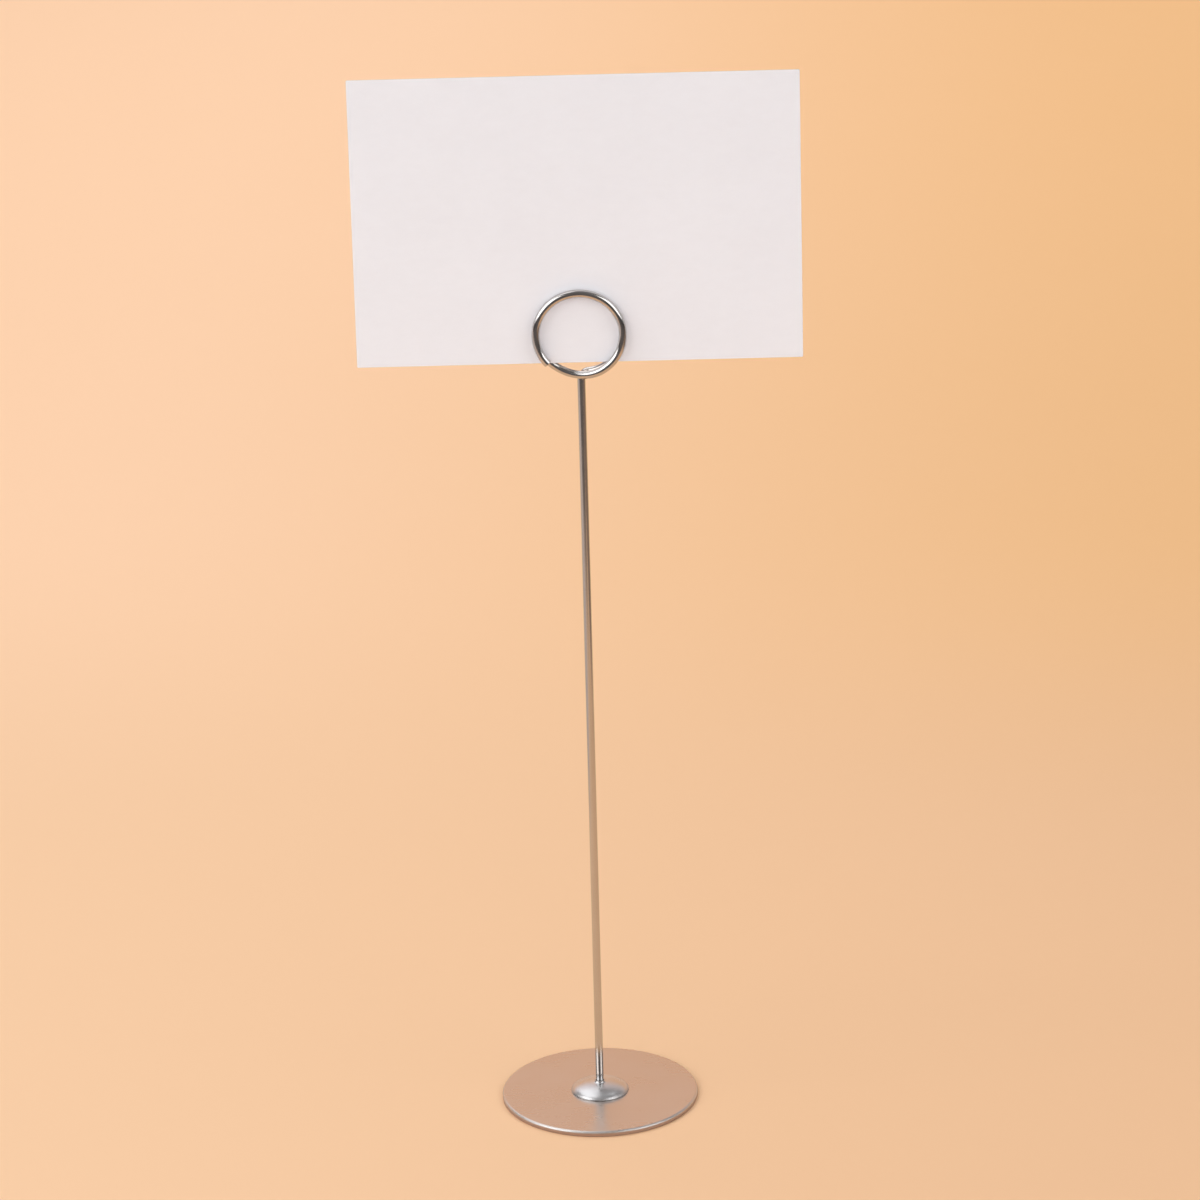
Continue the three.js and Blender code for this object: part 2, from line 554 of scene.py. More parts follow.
@dataclass(frozen=True)
class CardStock(Finish):
    """Uncoated white card with faint fibres across it and slightly darker cut edges."""

    name: str = "white card stock"
    dark: Colour = (0.835, 0.815, 0.81)
    light: Colour = (0.885, 0.87, 0.866)
    lightness: Shares = Shares(tone=0.75, cloud=0.2)
    roughness: Shares = Shares(least=0.64, tone=0.16)
    grain: Point = (900.0, 3000.0, 1700.0)
    marks_scale: float = 38.0
    bump_depth: float = 0.00003
    bump_strength: float = 0.35
    metallic: float = 0.0
    specular: float = 0.3
    tooth_scale: float = 2400.0
    tooth_share: float = 0.5
    cut_edge: Colour = (0.74, 0.72, 0.71)
    cut_fibre: Shares = Shares(least=0.4, tone=0.6)
    cut_roughness: float = 0.1

    def height(self, graph: NodeGraph, texture: Texture) -> Field:
        """The fibres and a finer tooth."""
        tooth = graph.noise(graph.place(), self.tooth_scale)
        return texture.height * (1.0 - self.tooth_share) + tooth * self.tooth_share

    def accents(self, graph: NodeGraph, texture: Texture) -> list[Accent]:
        """The cut edges."""
        cut = graph.attribute("edge")
        return [Accent(cut * texture.mixed(self.cut_fibre), self.cut_edge, cut * self.cut_roughness)]


@dataclass(frozen=True)
class RimPoint:
    """A point of a turned outline, with how much of an edge mark and of a wall mark it is. On the plate the
    edge mark is wear with a painted highlight and the wall mark is painted shade and reflection; on the
    dome the edge mark is painted shade.
    """

    radius: float
    height: float
    edge: float = 0.0
    wall: float = 0.0


def turned_arc(
    centre: tuple[float, float],
    radii: tuple[float, float],
    start: float,
    stop: float,
    steps: int,
) -> list[RimPoint]:
    """Points of an elliptical arc in the half plane of a turned piece.

    Args:
        centre: radius and height of the arc's centre.
        radii: the arc's reach outwards and upwards.
        start: first angle, in radians from the outward direction.
        stop: last angle.
        steps: pieces that the arc is cut into.

    Returns:
        The points, both ends among them.
    """
    points = []
    for step in range(steps + 1):
        angle = start + (stop - start) * step / steps
        out, up = radii[0] * math.cos(angle), radii[1] * math.sin(angle)
        points.append(RimPoint(centre[0] + out, centre[1] + up))
    return points


def edge_faded(points: Sequence[RimPoint], reach: float, fade: float) -> list[RimPoint]:
    """Gives points an edge mask that is full at first and falls to nothing.

    Args:
        points: the points, in order.
        reach: the step at which nothing is left of the mask.
        fade: how much of it comes back with each step before that.

    Returns:
        The marked points.
    """
    masks = [min(1.0, max(0.0, (reach - step) * fade)) for step in range(len(points))]
    return [replace(point, edge=mask) for point, mask in zip(points, masks)]


def bridge(work: bmesh.types.BMesh, rings: Sequence[Sequence[bmesh.types.BMVert]]) -> None:
    """Joins each ring of vertices to the next with faces."""
    for ring, after in zip(rings, rings[1:]):
        for step in range(len(ring)):
            beside = (step + 1) % len(ring)
            work.faces.new((ring[step], ring[beside], after[beside], after[step]))


def turned_mesh(
    name: str,
    outline: Sequence[RimPoint],
    segments: int,
    sharp_angle: float,
) -> bpy.types.Object:
    """Turns a closed outline about Z into a mesh with its edge and wall masks.

    Args:
        name: the piece's name.
        outline: the closed outline, each point once.
        segments: steps round the axis.
        sharp_angle: the angle between faces past which an edge shades sharp.

    Returns:
        The new object, at the origin.
    """
    work = bmesh.new()
    edge = work.verts.layers.float.new("edge")
    wall = work.verts.layers.float.new("wall")
    rings = []
    for point in outline:
        ring = []
        for segment in range(segments):
            angle = 2 * math.pi * segment / segments
            across, back = point.radius * math.cos(angle), point.radius * math.sin(angle)
            vertex = work.verts.new((across, back, point.height))
            vertex[edge] = point.edge
            vertex[wall] = point.wall
            ring.append(vertex)
        rings.append(ring)
    bridge(work, [*rings, rings[0]])
    return finished_object(name, work, sharp_angle)


def finished_object(name: str, work: bmesh.types.BMesh, sharp_angle: float) -> bpy.types.Object:
    """Merges doubles, turns faces outwards, shades smooth and makes the object.

    Args:
        name: the object's name.
        work: the mesh being edited, which is freed.
        sharp_angle: the angle between faces past which an edge shades sharp.

    Returns:
        The new object, at the origin and in the scene.
    """
    bmesh.ops.remove_doubles(work, verts=work.verts, dist=MERGE_DISTANCE)
    bmesh.ops.recalc_face_normals(work, faces=work.faces)
    mesh = bpy.data.meshes.new(name)
    work.to_mesh(mesh)
    work.free()
    mesh.shade_smooth()
    mesh.set_sharp_from_angle(angle=sharp_angle)
    made = bpy.data.objects.new(name, mesh)
    bpy.context.scene.collection.objects.link(made)
    return made


def dress(piece: bpy.types.Object, material: bpy.types.Material, body: Body, node: str) -> None:
    """Gives a piece its finish and its place in the frame.

    Args:
        piece: the piece.
        material: its finish.
        body: the body it rides on.
        node: the solid it stands for.
    """
    piece.data.materials.clear()
    piece.data.materials.append(material)
    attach(piece, body.value)
    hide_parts(node)
    log.info("%s: %d faces", piece.name, len(piece.data.polygons))


@dataclass
class BasePlate:
    """The blanked round plate, with a rolled upper edge and a bore for the wire's tail."""

    diameter: float = 0.07
    thickness: float = 0.002
    edge_radius: float = 0.0008
    lower_radius: float = 0.0003
    bore_radius: float = 0.0015
    bore_chamfer: float = 0.0002
    bore_wear: float = 0.4
    # Reach of the rolled edge's wear mask, which also carries a painted highlight.
    wear_highlight_reach: float = 10.0
    wear_highlight_fade: float = 0.3
    lower_loop: float = 0.003
    upper_loops: Span = (0.0003, 0.001)
    segments: int = 192
    edge_steps: int = 12
    sharp_angle: float = math.radians(40)
    finish: SatinSteel = field(default_factory=SatinSteel)

    def outline(self) -> list[RimPoint]:
        """The plate's outline from the bore's lower edge round to its upper one.

        The edge mask, for wear and a painted highlight, covers the rolled edge's lower part, and the points
        at half the rim and the loops keep the flat faces flat in shading.

        Returns:
            The closed outline.
        """
        rim, quarter = self.diameter / 2, math.pi / 2
        lower = (rim - self.lower_radius, self.lower_radius)
        upper = (rim - self.edge_radius, self.thickness - self.edge_radius)
        foot = turned_arc(lower, (self.lower_radius,) * 2, -quarter, 0.0, self.edge_steps // 2)
        rolled = turned_arc(upper, (self.edge_radius,) * 2, 0.0, quarter, self.edge_steps)
        return [
            RimPoint(self.bore_radius, self.bore_chamfer),
            RimPoint(self.bore_radius + self.bore_chamfer, 0.0, self.bore_wear),
            RimPoint(rim / 2, 0.0),
            RimPoint(rim - self.lower_loop, 0.0),
            *[replace(point, wall=1.0) for point in foot],
            RimPoint(rim, upper[1], wall=1.0),
            *edge_faded(rolled, self.wear_highlight_reach, self.wear_highlight_fade)[2:],
            *[RimPoint(upper[0] - inset, self.thickness) for inset in self.upper_loops],
            RimPoint(rim / 2, self.thickness),
            RimPoint(self.bore_radius, self.thickness),
        ]

    def build(self) -> bpy.types.Object:
        """Makes and dresses the plate, and returns it."""
        piece = turned_mesh("base_plate_satin", self.outline(), self.segments, self.sharp_angle)
        dress(piece, self.finish.material(), Body.STAND, "base_plate")
        return piece


@dataclass
class DomeCap:
    """The pressed dome that hides the nut, with a small drawn neck round the wire."""

    diameter: float = 0.0206
    wall: float = 0.0007
    inner_height: float = 0.0024945
    neck_height: float = 0.0007
    neck_wall: float = 0.00025
    bore_radius: float = 0.0015
    foot_radius: float = 0.00012
    lip_radius: float = 0.0001
    seat: float = 0.002
    # Reach of the dome's duller, darker foot, which is painted shade.
    dull_shade_reach: float = 12.8
    dull_shade_fade: float = 0.125
    lip_shade: Span = (0.4, 0.5)
    segments: int = 160
    dome_steps: int = 40
    neck_steps: int = 12
    sharp_angle: float = math.radians(40)
    finish: PolishedSteel = field(default_factory=PolishedSteel)

    def outline(self) -> list[RimPoint]:
        """The cap's outline from its foot over the dome and neck, and back along the inside.

        Returns:
            The closed outline.
        """
        outer = (self.diameter / 2, self.inner_height + self.wall)
        inner = (outer[0] - self.wall, self.inner_height)
        neck = self.bore_radius + self.neck_wall
        fillet = neck + self.neck_height
        foot_angle = math.asin(min(1.0, self.foot_radius / outer[1]))
        neck_angle = math.acos(fillet / outer[0])
        top = self.seat + outer[1] * math.sin(neck_angle) + self.neck_height
        bore_angle = math.acos(self.bore_radius / inner[0])
        base = (0.0, self.seat)
        dome = turned_arc(base, outer, foot_angle, neck_angle, self.dome_steps)
        throat_radii = (self.neck_height, self.neck_height)
        throat = turned_arc((fillet, top), throat_radii, -math.pi / 2, -math.pi, self.neck_steps)
        return [
            RimPoint(outer[0] - self.foot_radius, self.seat, 1.0),
            *edge_faded(dome, self.dull_shade_reach, self.dull_shade_fade),
            *throat[1:-1],
            RimPoint(neck, top - self.lip_radius),
            RimPoint(neck - self.lip_radius, top, self.lip_shade[0]),
            RimPoint(self.bore_radius, top, self.lip_shade[1]),
            *turned_arc(base, inner, bore_angle, 0.0, self.dome_steps // 2),
        ]

    def build(self) -> bpy.types.Object:
        """Makes and dresses the cap, and returns it."""
        piece = turned_mesh("dome_cap_polished", self.outline(), self.segments, self.sharp_angle)
        dress(piece, self.finish.material(), Body.STAND, "dome_cap")
        return piece


@dataclass
class ClipWire:
    """One length of wire: a tail in the plate, a straight stem, a tight bend and almost two ring turns."""

    diameter: float = 0.0028
    stand_height: float = 0.305
    ring_outer_diameter: float = 0.0325
    bend_radius: float = 0.003
    tail_height: float = 0.0003
    tail_chamfer: float = 0.0004
    end_rounding: float = 0.00025
    turn_pitch: float = 0.0035
    crossing: float = math.radians(36)
    cut_end: float = math.radians(47)
    stem_steps: int = 28
    bend_steps: int = 16
    ring_steps: int = 336
    end_steps: int = 4
    sides: int = 32
    cut_share: float = 0.9
    sharp_angle: float = math.radians(50)
    finish: DrawnSteel = field(default_factory=DrawnSteel)

    @property
    def radius(self) -> float:
        """Half the wire's diameter."""
        return self.diameter / 2

    @property
    def ring_radius(self) -> float:
        """Radius of the ring's centre line."""
        return (self.ring_outer_diameter - self.diameter) / 2

    @property
    def ring_height(self) -> float:
        """Height of the ring's centre."""
        return self.stand_height - self.ring_outer_diameter / 2

    @property
    def bend_exit(self) -> float:
        """Angle about the ring's centre at which the bend runs into the ring."""
        return math.asin(self.bend_radius / (self.ring_radius + self.bend_radius))

    @property
    def slot_slope(self) -> float:
        """How far back the card's slot goes for each metre to the right."""
        return self.turn_pitch / (4 * self.ring_radius)

    def sizes(self, material: bpy.types.Material) -> dict[str, object]:
        """The named inputs of the sweep.

        Args:
            material: the wire's finish.

        Returns:
            The values by name.
        """
        return {
            "Wire Radius": self.radius,
            "Ring Radius": self.ring_radius,
            "Ring Height": self.ring_height,
            "Bend Radius": self.bend_radius,
            "Bend Exit": self.bend_exit,
            "Tail Height": self.tail_height,
            "Tail Chamfer": self.tail_chamfer,
            "End Rounding": self.end_rounding,
            "End Angle": 4 * math.pi - self.cut_end,
            "Turn Pitch": self.turn_pitch,
            "Crossing": self.crossing,
            "Stem Steps": self.stem_steps,
            "Bend Steps": self.bend_steps,
            "Ring Steps": self.ring_steps,
            "End Steps": self.end_steps,
            "Sides": self.sides,
            "Finish": material,
        }

    def sweep_tree(self, sizes: dict[str, object]) -> bpy.types.NodeTree:
        """Writes the tree that lays out the centre line and sweeps the round section along it.

        Args:
            sizes: the named inputs and their values.

        Returns:
            The tree.
        """
        takes = {}
        for name, value in sizes.items():
            takes[name] = next(kind for kind in SOCKETS if isinstance(value, kind))
        graph, given = group_graph(
            "clip wire sweep",
            takes,
            ["Geometry"],
            tree_kind="GeometryNodeTree",
            result_kind="NodeSocketGeometry",
        )
        index = graph.out(graph.node("GeometryNodeInputIndex"))
        shares = self.shares(graph, given, index)
        line = graph.node("GeometryNodeCurvePrimitiveLine")
        steps = given["Stem Steps"] + given["Bend Steps"] + given["Ring Steps"] + given["End Steps"]
        points = graph.node("GeometryNodeResampleCurve", {"Curve": graph.out(line), "Count": steps + 2})
        position = self.centre_line(graph, given, shares)
        laid = graph.node("GeometryNodeSetPosition", {"Geometry": graph.out(points), "Position": position})
        length = graph.out(graph.node("GeometryNodeSplineParameter"), "Length")
        marked = self.store(graph, graph.out(laid), "along", length, "FLOAT")
        cut = graph.math("GREATER_THAN", shares["end"], self.cut_share)
        marked = self.store(graph, marked, "cut", cut, "FLOAT")
        circle = graph.node(
            "GeometryNodeCurvePrimitiveCircle",
            {"Resolution": given["Sides"], "Radius": given["Wire Radius"]},
        )
        around = graph.vector_math("NORMALIZE", graph.out(graph.node("GeometryNodeInputPosition")))
        section = self.store(graph, graph.out(circle), "around", around, "FLOAT_VECTOR")
        scale = self.end_scale(graph, given, shares)
        swept = graph.node(
            "GeometryNodeCurveToMesh",
            {"Curve": marked, "Profile Curve": section, "Scale": scale, "Fill Caps": True},
        )
        smooth = graph.node("GeometryNodeSetShadeSmooth", {"Geometry": graph.out(swept)})
        real = graph.node("GeometryNodeRealizeInstances", {"Geometry": graph.out(smooth)})
        finish = {"Geometry": graph.out(real), "Material": given["Finish"]}
        dressed = graph.node("GeometryNodeSetMaterial", finish)
        return group_result(graph, {"Geometry": graph.out(dressed)})

    def store(self, graph: NodeGraph, geometry: Field, name: str, value: Field, kind: str) -> Field:
        """Stores a value on the points of a curve.

        Args:
            graph: the tree's graph.
            geometry: the curve.
            name: the attribute's name.
            value: the value.
            kind: the attribute's data type.

        Returns:
            The curve with the attribute.
        """
        inputs = {"Geometry": geometry, "Name": name, "Value": value}
        made = graph.node("GeometryNodeStoreNamedAttribute", inputs, data_type=kind, domain="POINT")
        return graph.out(made)

    def shares(self, graph: NodeGraph, given: dict[str, Field], index: Field) -> dict[str, Field]:
        """How far along each stretch of the wire a point lies, from 0 to 1.

        Args:
            graph: the tree's graph.
            given: the tree's inputs.
            index: the point's number.

        Returns:
            The shares of the tail, stem, bend, ring and end.
        """
        found = {"tail": graph.clamp(index)}
        left = index - 1.0
        for stretch in ("stem", "bend", "ring", "end"):
            steps = given[f"{stretch.title()} Steps"]
            found[stretch] = graph.clamp(left / steps)
            left = left - steps
        return found

    def centre_line(self, graph: NodeGraph, given: dict[str, Field], shares: dict[str, Field]) -> Field:
        """Where a point of the centre line lies.

        The ring starts in the stem's own plane, eases into the rear turn, and crosses to the front
        turn as it passes before the stem. Both turns lie flat along the card's slot.

        Args:
            graph: the tree's graph.
            given: the tree's inputs.
            shares: how far along each stretch the point lies.

        Returns:
            The position.
        """
        ring_radius, ring_height = given["Ring Radius"], given["Ring Height"]
        bend_radius, bend_exit, pitch = given["Bend Radius"], given["Bend Exit"], given["Turn Pitch"]
        tail_height, chamfer = given["Tail Height"], given["Tail Chamfer"]
        end_arc = given["End Rounding"] / ring_radius
        bend_start = ring_height - (ring_radius + bend_radius) * graph.math("COSINE", bend_exit)
        stem_height = tail_height + shares["tail"] * chamfer
        stem_height = stem_height + shares["stem"] * (bend_start - tail_height - chamfer)
        turned = shares["bend"] * (math.pi / 2 - bend_exit)
        bend_across = bend_radius * (1.0 - graph.math("COSINE", turned))
        bend_up = stem_height + bend_radius * graph.math("SINE", turned)
        rounding = graph.math("SINE", shares["end"] * (math.pi / 2))
        angle = bend_exit + shares["ring"] * (given["End Angle"] - end_arc - bend_exit) + rounding * end_arc
        ring_across = ring_radius * graph.math("SINE", angle)
        ring_up = ring_height - ring_radius * graph.math("COSINE", angle)
        lead_in = graph.smoothstep(angle, bend_exit, given["Crossing"])
        full_turn = 2 * math.pi
        crossed = graph.smoothstep(angle, full_turn - given["Crossing"], full_turn + given["Crossing"])
        slope = pitch / (4.0 * ring_radius)
        slot_depth = ring_across * slope * lead_in - pitch
        ring_depth = slot_depth + pitch * 0.5 * (2.0 - lead_in - 2.0 * crossed)
        on_ring = graph.math("GREATER_THAN", shares["ring"], 0.0)
        return graph.combine(
            graph.lerp(on_ring, bend_across, ring_across),
            graph.lerp(on_ring, 0.0, ring_depth),
            graph.lerp(on_ring, bend_up, ring_up),
        )

    def end_scale(self, graph: NodeGraph, given: dict[str, Field], shares: dict[str, Field]) -> Field:
        """The section's scale, which narrows at the tail's chamfer and at the rounded cut end.

        Args:
            graph: the tree's graph.
            given: the tree's inputs.
            shares: how far along each stretch the point lies.

        Returns:
            The scale.
        """
        chamfer = (1.0 - shares["tail"]) * given["Tail Chamfer"]
        rounding = (1.0 - graph.math("COSINE", shares["end"] * (math.pi / 2))) * given["End Rounding"]
        return 1.0 - (chamfer + rounding) / given["Wire Radius"]

    def build(self) -> bpy.types.Object:
        """Sweeps the wire, turns it into a plain mesh and dresses it.

        Returns:
            The wire.
        """
        material = self.finish.material()
        sizes = self.sizes(material)
        tree = self.sweep_tree(sizes)
        piece = bpy.data.objects.new("clip_wire_drawn", bpy.data.meshes.new("clip_wire_route"))
        bpy.context.scene.collection.objects.link(piece)
        modifier = piece.modifiers.new("sweep", "NODES")
        modifier.node_group = tree
        for item in tree.interface.items_tree:
            if item.in_out == "INPUT":
                modifier[item.identifier] = sizes[item.name]
        graph = bpy.context.evaluated_depsgraph_get()
        swept = bpy.data.meshes.new_from_object(piece.evaluated_get(graph), depsgraph=graph)
        piece.modifiers.clear()
        work = bmesh.new()
        work.from_mesh(swept)
        bpy.data.objects.remove(piece)
        piece = finished_object("clip_wire_drawn", work, self.sharp_angle)
        dress(piece, material, Body.STAND, "clip_wire")
        return piece


@dataclass
class TableCard:
    """The blank card that stands in the ring's slot."""

    wire: ClipWire
    width: float = 0.1524
    height: float = 0.1016
    thickness: float = 0.0004
    seat_gap: float = 0.0003
    corner_radius: float = 0.0004
    edge_softness: float = 0.00006
    corner_steps: int = 4
    sharp_angle: float = math.radians(30)
    finish: CardStock = field(default_factory=CardStock)

    def outline(self, inset: float) -> list[tuple[float, float]]:
        """The card's outline about its middle, with its corners slightly rounded.

        Args:
            inset: how far inside the card's edge it lies.

        Returns:
            Points across and up.
        """
        radius = self.corner_radius - inset
        across, up = self.width / 2 - self.corner_radius, self.height / 2 - self.corner_radius
        points = []
        for corner, (side, rise) in enumerate(((1, 1), (-1, 1), (-1, -1), (1, -1))):
            for step in range(self.corner_steps + 1):
                angle = (corner + step / self.corner_steps) * math.pi / 2
                out, above = radius * math.cos(angle), radius * math.sin(angle)
                points.append((side * across + out, rise * up + above))
        return points

    def build(self) -> bpy.types.Object:
        """Makes and dresses the card, and returns it."""
        work = bmesh.new()
        mask = work.verts.layers.float.new("edge")
        half = self.thickness / 2
        soft = self.edge_softness
        layers = ((-half, soft, 0.0), (-half + soft, 0.0, 1.0), (half - soft, 0.0, 1.0), (half, soft, 0.0))
        rings = []
        for depth, inset, edge in layers:
            ring = []
            for across, up in self.outline(inset):
                vertex = work.verts.new((across, depth, up))
                vertex[mask] = edge
                ring.append(vertex)
            rings.append(ring)
        bridge(work, rings)
        work.faces.new(rings[0])
        work.faces.new(rings[-1])
        wire = self.wire
        seat = wire.ring_height - wire.ring_radius * math.cos(wire.crossing) + wire.radius + self.seat_gap
        middle = Matrix.Translation((0.0, -wire.turn_pitch, seat + self.height / 2))
        turn = Matrix.Rotation(math.atan(wire.slot_slope), 4, "Z")
        bmesh.ops.transform(work, verts=work.verts, matrix=middle @ turn)
        piece = finished_object("table_card_blank", work, self.sharp_angle)
        dress(piece, self.finish.material(), Body.CARD, "table_card")
        return piece


@dataclass
class LockNut:
    """The hidden nut, which keeps its solid and gets a finish."""

    node: str = "lock_nut"
    finish: PlainSteel = field(default_factory=PlainSteel)

    def build(self) -> bpy.types.Object:
        """Dresses the nut's solid, and returns it."""
        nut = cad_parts[self.node]
        nut.data.materials.clear()
        nut.data.materials.append(self.finish.material())
        log.info("%s: its own solid", nut.name)
        return nut


@dataclass(frozen=True)
class Softbox:
    """A rectangular studio light."""

    name: str
    place: Point
    aim: Point
    size: tuple[float, float]
    radiance: float
    tint: Colour = (1.0, 1.0, 1.0)
    in_gloss: bool = True

    def build(self) -> None:
        """Makes the light and turns it to its aim."""
        lamp = bpy.data.lights.new(self.name, "AREA")
        lamp.shape = "RECTANGLE"
        lamp.size, lamp.size_y = self.size
        lamp.energy = self.radiance * math.pi * self.size[0] * self.size[1]
        lamp.color = self.tint
        made = bpy.data.objects.new(self.name, lamp)
        bpy.context.scene.collection.objects.link(made)
        made.location = self.place
        made.rotation_euler = (Vector(self.aim) - Vector(self.place)).to_track_quat("-Z", "Y").to_euler()
        made.visible_camera = False
        made.visible_glossy = self.in_gloss


@dataclass
class Studio:
    """Pale paper on the floor, soft light from both sides, and a sheet that only the metal mirrors.

    The paper is about 0.7 m wide and sweeps up behind. The camera sees nothing but paper, and what
    mirrors or catches light from the front and the sides finds the room's dim floor past its edge.
    A span says where a change from one colour to the next starts and where it ends.
    """

    floor_radii: Point = (0.0005, 0.4, 9.0)
    floor_steps: int = 96
    # Paler and pinker on the left: a painted sheen from the left softbox. The colours also shift towards
    # the back.
    near_left: Colour = (0.896, 0.582, 0.358)
    near_right: Colour = (0.875, 0.539, 0.311)
    far_left: Colour = (0.951, 0.622, 0.403)
    far_right: Colour = (0.891, 0.521, 0.248)
    across_span: Span = (-0.3, 0.3)
    far_span: Span = (0.2, 0.6)
    paper_cloud: float = 0.06
    paper_cloud_scale: float = 7.0
    paper_roughness: float = 0.9
    paper_specular: float = 0.15
    seen_paper: Colour = (0.93, 0.61, 0.38)
    seen_glow: float = 0.75
    unlit_span: Span = (0.9, 2.6)
    left_edge: Span = (0.22, 0.32)
    right_edge: Span = (0.37, 0.43)
    front_edge: Span = (0.42, 0.58)
    rear_span: Span = (0.1, 0.5)
    room_left: Colour = (0.6, 0.49, 0.43)
    room_right: Colour = (0.3, 0.2, 0.14)
    room_front: Colour = (0.12, 0.1, 0.09)
    # Glow colours of the mirrored sheet: a painted reflection of the lit sweep and wall.
    low_paper: Colour = (0.93, 0.62, 0.45)
    far_paper: Colour = (0.98, 0.53, 0.26)
    low_span: Span = (0.3, 0.6)
    wall_left: Colour = (1.0, 0.91, 0.93)
    wall_right: Colour = (0.76, 0.66, 0.64)
    wall_across_span: Span = (-0.5, 0.3)
    wall_span: Span = (0.87, 0.99)
    wall_height: float = 1.7
    sweep_distance: float = 1.6
    sweep_half_width: float = 2.6
    fill: float = 0.14
    gloss_fill: Colour = (0.28, 0.27, 0.265)
    gloss_front: Colour = (0.16, 0.15, 0.145)
    gloss_front_span: Span = (0.2, 0.75)
    softboxes: tuple[Softbox, ...] = (
        Softbox("left softbox", (-1.08, -0.7, 0.9), (0.0, 0.0, 0.2), (1.3, 1.1), 2.65),
        Softbox("right softbox", (1.12, -0.7, 0.85), (0.0, 0.0, 0.2), (1.0, 1.0), 2.4),
        Softbox("left ceiling", (-0.64, 0.52, 1.45), (-0.64, 0.52, 0.0), (1.0, 1.75), 1.3),
        Softbox("right ceiling", (0.5, 0.5, 1.45), (0.5, 0.5, 0.0), (0.4, 0.4), 0.8),
        Softbox(
            "front fill",
            (0.0, -2.2, 0.7),
            (0.0, 0.0, 0.25),
            (1.5, 1.5),
            2.65,
            tint=(0.98, 1.0, 1.13),
            in_gloss=False,
        ),
        Softbox("rear fill", (0.0, 1.9, 1.7), (0.0, 1.9, 0.0), (3.2, 1.8), 1.8, in_gloss=False),
    )

    def build(self) -> None:
        """Makes the floor, the mirrored sheet, the lights and the world."""
        self.floor()
        self.mirrored_sweep()
        for softbox in self.softboxes:
            softbox.build()
        self.world()
        bpy.context.scene.view_settings.view_transform = "Standard"

    def sheet(
        self,
        name: str,
        rows: Sequence[Sequence[Point]],
        material: bpy.types.Material,
    ) -> bpy.types.Object:
        """Makes a stage surface from rows of points.

        Args:
            name: the object's name.
            rows: rows with the same number of points.
            material: its finish.

        Returns:
            The object.
        """
        width = len(rows[0])
        points = [point for row in rows for point in row]
        faces = []
        for row in range(len(rows) - 1):
            for step in range(width - 1):
                corner = row * width + step
                faces.append((corner, corner + 1, corner + width + 1, corner + width))
        mesh = bpy.data.meshes.new(name)
        mesh.from_pydata(points, [], faces)
        mesh.materials.append(material)
        made = bpy.data.objects.new(name, mesh)
        bpy.context.scene.collection.objects.link(made)
        return made

    def floor(self) -> None:
        """The paper floor, with the room's floor past the paper for all but what the camera sees itself.

        Where no lamp reaches, it glows a little for the camera, so that every side has a plain floor.
        """
        material, graph, shader = principled("paper floor")
        place = graph.place()
        x, y, _ = graph.separate(place)
        cloud = graph.noise(place, self.paper_cloud_scale, detail=3.0)
        # The paper's colour carries a painted sheen, paler on the left.
        share = graph.smoothstep(x, *self.across_span) + (cloud - 0.5) * self.paper_cloud
        near = graph.tint(share, self.near_left, self.near_right)
        far = graph.tint(share, self.far_left, self.far_right)
        paper = graph.tint(graph.smoothstep(y, *self.far_span), near, far)
        left = graph.smoothstep(x * -1.0, *self.left_edge)
        right = graph.smoothstep(x, *self.right_edge)
        front = graph.smoothstep(y * -1.0, *self.front_edge)
        beside = graph.math("MAXIMUM", left, right) * (1.0 - graph.smoothstep(y, *self.rear_span))
        past = graph.math("MAXIMUM", beside, front)
        room = graph.tint(front, graph.tint(right, self.room_left, self.room_right), self.room_front)
        seen = graph.out(graph.node("ShaderNodeLightPath"), "Is Camera Ray")
        graph.feed(shader.inputs["Base Color"], graph.tint(past * (1.0 - seen), paper, room))
        shader.inputs["Roughness"].default_value = self.paper_roughness
        shader.inputs["Specular IOR Level"].default_value = self.paper_specular
        aside = graph.math("MAXIMUM", graph.math("ABSOLUTE", x), y * -1.0)
        unlit = graph.smoothstep(aside, *self.unlit_span)
        graph.feed(shader.inputs["Emission Color"], graph.tint(unlit, (0.0, 0.0, 0.0), self.seen_paper))
        graph.feed(shader.inputs["Emission Strength"], seen * self.seen_glow)
        turns = [2 * math.pi * step / self.floor_steps for step in range(self.floor_steps + 1)]
        rim = [(math.cos(turn), math.sin(turn)) for turn in turns]
        rows = [[(reach * across, reach * back, 0.0) for across, back in rim] for reach in self.floor_radii]
        self.sheet("floor", rows, material)

    def mirrored_sweep(self) -> None:
        """A glowing sheet where the paper sweeps up behind and the wall above it, seen by mirror rays
        alone: its colours are a painted reflection of the lit paper and wall, with the wall brighter on the
        left.
        """
        material = bpy.data.materials.new("mirrored sweep")
        material.use_nodes = True
        material.node_tree.nodes.clear()
        graph = NodeGraph(material.node_tree)
        x, _, up = graph.separate(graph.place())
        paper = graph.tint(graph.smoothstep(up, *self.low_span), self.low_paper, self.far_paper)
        wall = graph.tint(graph.smoothstep(x, *self.wall_across_span), self.wall_left, self.wall_right)
        colour = graph.tint(graph.smoothstep(up, *self.wall_span), paper, wall)
        light = graph.node("ShaderNodeEmission", {"Color": colour})
        graph.node("ShaderNodeOutputMaterial", {"Surface": graph.out(light)})
        reach, far = self.sweep_half_width, self.sweep_distance
        rows = [[(side * reach, far, height) for side in (-1.0, 1.0)] for height in (0.0, self.wall_height)]
        made = self.sheet("mirrored_sweep", rows, material)
        made.visible_camera = False
        made.visible_diffuse = False
        made.visible_shadow = False
        made.visible_transmission = False

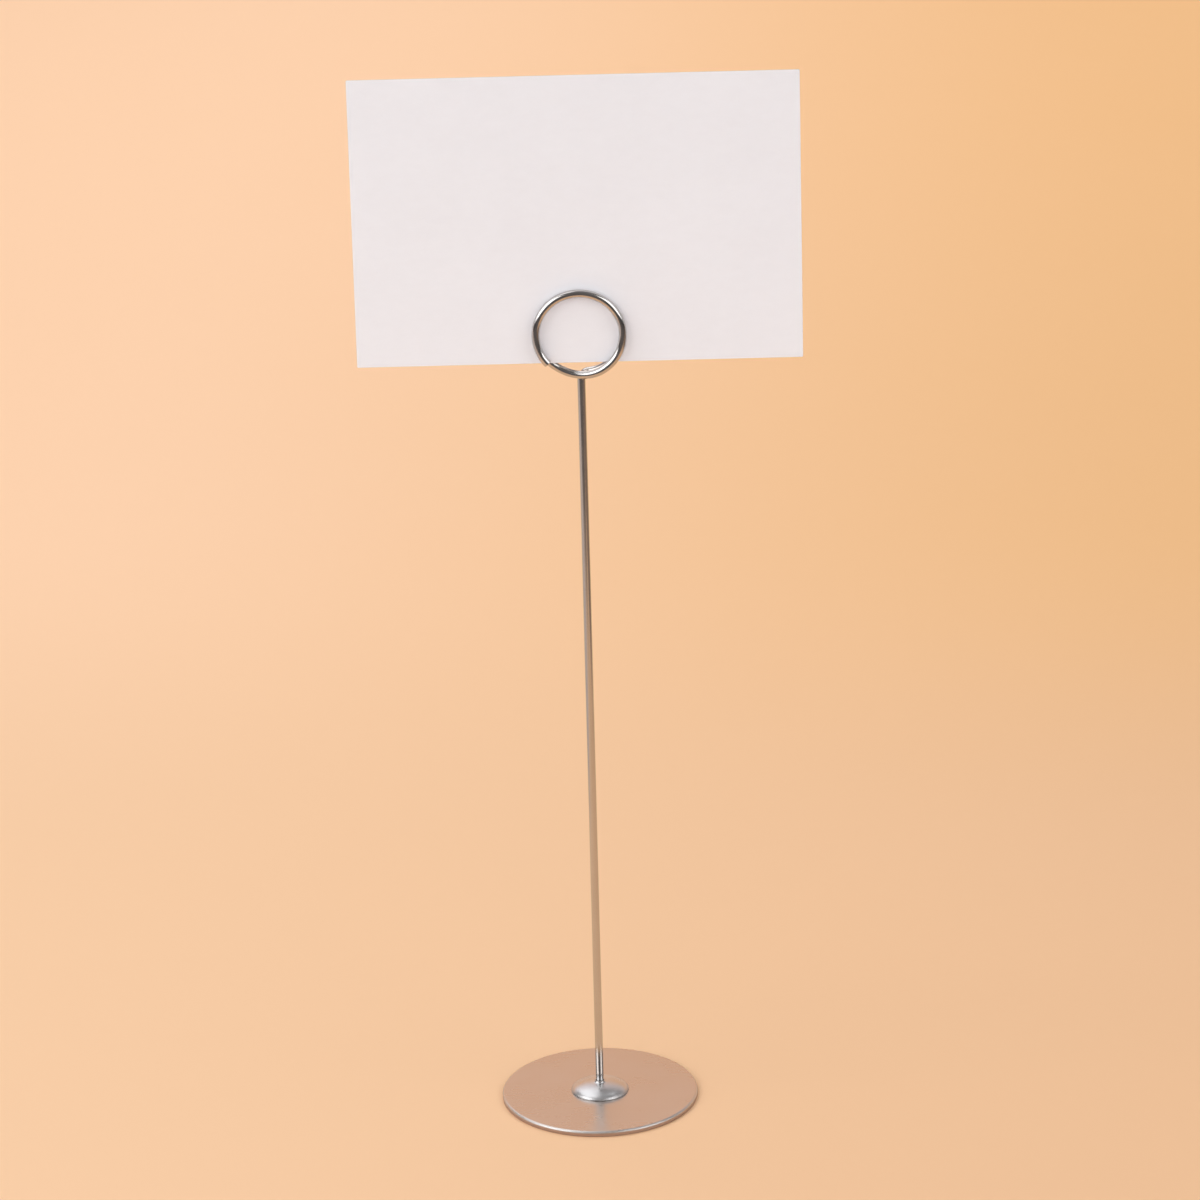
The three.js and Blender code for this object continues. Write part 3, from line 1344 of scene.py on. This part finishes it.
    def world(self) -> None:
        """Even fill for matt surfaces, a dim room for mirrors, and paper colour past the floor's edge."""
        world = bpy.data.worlds.new("studio room")
        bpy.context.scene.world = world
        world.use_nodes = True
        world.node_tree.nodes.clear()
        graph = NodeGraph(world.node_tree)
        path = graph.node("ShaderNodeLightPath")
        fill = graph.node("ShaderNodeBackground", {"Color": (1.0, 1.0, 1.0, 1.0), "Strength": self.fill})
        _, y, _ = graph.separate(graph.out(graph.node("ShaderNodeTexCoord"), "Generated"))
        front = graph.smoothstep(y * -1.0, *self.gloss_front_span)
        gloss = graph.tint(front, self.gloss_fill, self.gloss_front)
        dim = graph.node("ShaderNodeBackground", {"Color": gloss})
        paper = graph.node("ShaderNodeBackground", {"Color": (*self.seen_paper, 1.0)})
        mirrored = graph.out(path, "Is Glossy Ray")
        seen = graph.out(path, "Is Camera Ray")
        room = graph.node("ShaderNodeMixShader", {0: mirrored, 1: graph.out(fill), 2: graph.out(dim)})
        whole = graph.node("ShaderNodeMixShader", {0: seen, 1: graph.out(room), 2: graph.out(paper)})
        graph.node("ShaderNodeOutputWorld", {"Surface": graph.out(whole)})


@dataclass
class PhotoCamera:
    """The photograph's viewpoint, in a frame of 1200 by 1200 pixels."""

    focal_pixels: float = 5854.52
    frame_pixels: float = 1200.0
    sensor_width: float = 36.0
    distance: float = 2.034985
    azimuth: float = math.radians(3.526)
    elevation: float = math.radians(20.923)
    roll: float = math.radians(-1.471)
    target: Point = (0.004471, 0.0, 0.19004)
    clip: Span = (0.01, 100.0)

    def build(self) -> None:
        """Makes the camera and sets it as the scene's."""
        data = bpy.data.cameras.new("photo camera")
        data.sensor_width = self.sensor_width
        data.lens = self.focal_pixels * self.sensor_width / self.frame_pixels
        data.clip_start, data.clip_end = self.clip
        level = math.cos(self.elevation)
        aside, ahead = math.sin(self.azimuth) * level, math.cos(self.azimuth) * level
        back = Vector((aside, -ahead, math.sin(self.elevation)))
        right = (-back).cross(Vector((0.0, 0.0, 1.0))).normalized()
        up = right.cross(-back)
        cosine, sine = math.cos(self.roll), math.sin(self.roll)
        rolled_right = cosine * right + sine * up
        rolled_up = -sine * right + cosine * up
        turn = Matrix((rolled_right, rolled_up, back)).transposed().to_4x4()
        made = bpy.data.objects.new("photo camera", data)
        eye = Vector(self.target) + self.distance * back
        made.matrix_world = Matrix.Translation(eye) @ turn
        bpy.context.scene.collection.objects.link(made)
        bpy.context.scene.camera = made


def main() -> None:
    """Builds the camera, the studio and each sub-assembly in order."""
    logging.basicConfig(level=logging.INFO, format="%(name)s: %(message)s")
    PhotoCamera().build()
    Studio().build()
    wire = ClipWire()
    for assembly in (BasePlate(), LockNut(), DomeCap(), wire, TableCard(wire)):
        piece = assembly.build()
        log.info("built %s", piece.name)


if __name__ == "__main__":
    main()
